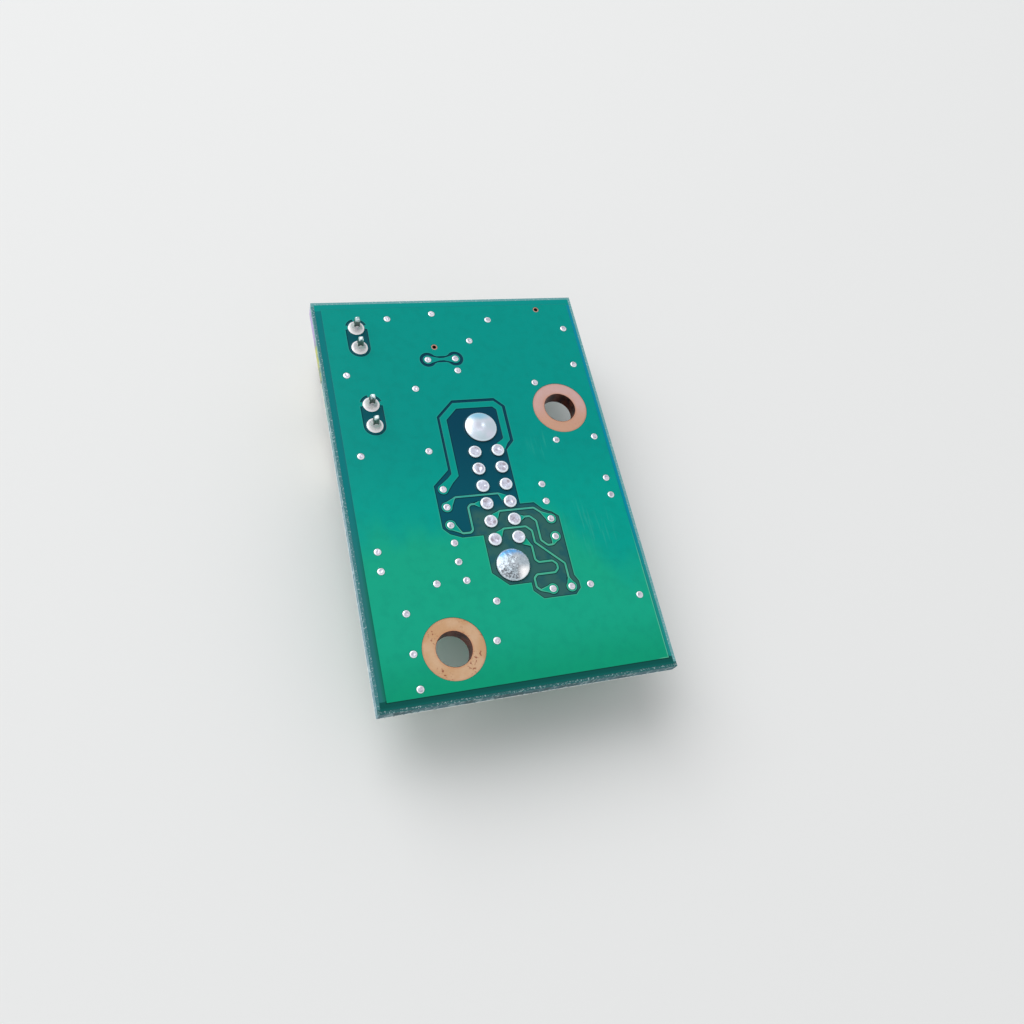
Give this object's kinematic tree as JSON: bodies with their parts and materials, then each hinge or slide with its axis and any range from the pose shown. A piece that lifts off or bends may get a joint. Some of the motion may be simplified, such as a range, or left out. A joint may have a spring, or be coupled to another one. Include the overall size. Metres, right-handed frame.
{
  "type": "relay circuit board",
  "caption": "Small two-sided printed circuit board, solder side up, with a two-row post connector, two shrouded headers, a flat edge connector and two plated mounting holes.",
  "frame": {"origin": "centre of the board's outline, on the plane of the two-row connector's mouth, on which the part stands", "axes": "+Z out of the solder side, +Y along the board's long side, away from the camera in the picture, +X along its short side, to the right"},
  "size_m": [0.0301, 0.045, 0.0114],
  "materials": {
    "laminate": "sawn glass-epoxy edge",
    "copper": "bare etched copper, lightly tarnished",
    "solder_mask": "semi-gloss green solder mask",
    "solder": "satin solder",
    "tinned_metal": "tin plated",
    "dark_housing": "moulded glass-filled nylon",
    "white_housing": "moulded nylon",
    "pink_paint": "dried paint",
    "yellow_paint": "dried paint"
  },
  "bodies": {
    "root": {"board_laminate": "laminate", "solder_side_ground": "copper", "component_side_ground": "copper", "power_track": "copper", "signal_track_1": "copper", "signal_track_2": "copper", "signal_track_3": "copper", "signal_track_4": "copper", "signal_track_5": "copper", "signal_track_6": "copper", "link_track": "copper", "loose_pads": "copper", "component_side_tracks": "copper", "upper_hole_plating": "copper", "lower_hole_plating": "copper", "left_test_via": "copper", "right_test_via": "copper", "solder_side_mask": "solder_mask", "component_side_mask": "solder_mask", "stitching_via_fills": "solder", "signal_via_fills": "solder", "contact_solder_joints": "solder", "upper_post_solder": "solder", "lower_post_solder": "solder", "upper_header_solder": "solder", "lower_header_solder": "solder", "connector_contacts": "tinned_metal", "upper_post": "tinned_metal", "lower_post": "tinned_metal", "upper_header_pins": "tinned_metal", "lower_header_pins": "tinned_metal", "edge_connector_contacts": "tinned_metal", "left_hold_down_tab": "tinned_metal", "right_hold_down_tab": "tinned_metal", "connector_housing": "dark_housing", "upper_header_housing": "white_housing", "lower_header_housing": "white_housing", "edge_connector_housing": "white_housing", "pink_edge_mark": "pink_paint", "yellow_edge_mark": "yellow_paint"}
  },
  "joints": []
}
